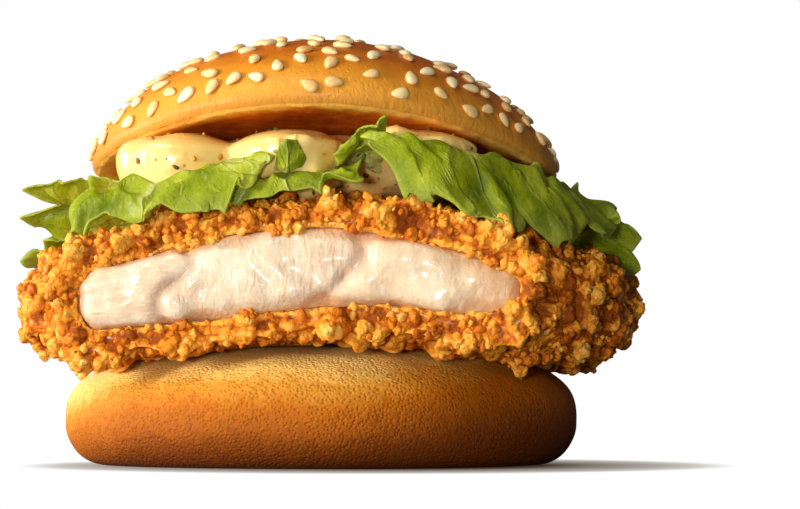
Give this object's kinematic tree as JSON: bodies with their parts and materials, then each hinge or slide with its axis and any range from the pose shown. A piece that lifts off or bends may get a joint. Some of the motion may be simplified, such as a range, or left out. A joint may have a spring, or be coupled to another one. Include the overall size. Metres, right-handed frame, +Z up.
{
  "type": "chicken burger",
  "caption": "Fried chicken burger: sesame bun, craggy breaded chicken piece cut open at the front, leafy lettuce and a pale dressing.",
  "frame": {"origin": "centre of the lower bun's flat underside, on the surface it rests on", "axes": "+Z up, -Y the front with the cut face of the chicken, +X to the viewer's right"},
  "size_m": [0.122, 0.1115, 0.0828],
  "materials": {
    "bread": "soft bread, fine pores",
    "glazed_bread": "glazed bun crust with sesame seeds",
    "batter": "crisp fried batter, slightly oily",
    "cooked_chicken": "moist cooked chicken",
    "lettuce": "fresh leaf",
    "dressing": "thick glossy dressing"
  },
  "bodies": {
    "root": {"bun_base": "bread", "chicken_coating": "batter", "chicken_meat": "cooked_chicken", "lettuce_back": "lettuce", "lettuce_back_right": "lettuce", "lettuce_back_left": "lettuce", "lettuce_left_rib": "lettuce", "lettuce_far_right": "lettuce", "lettuce_left": "lettuce", "lettuce_right_back": "lettuce", "lettuce_front": "lettuce", "lettuce_right": "lettuce", "lettuce_front_frill": "lettuce", "lettuce_front_curl": "lettuce", "sauce": "dressing", "bun_top": "glazed_bread"}
  },
  "joints": []
}
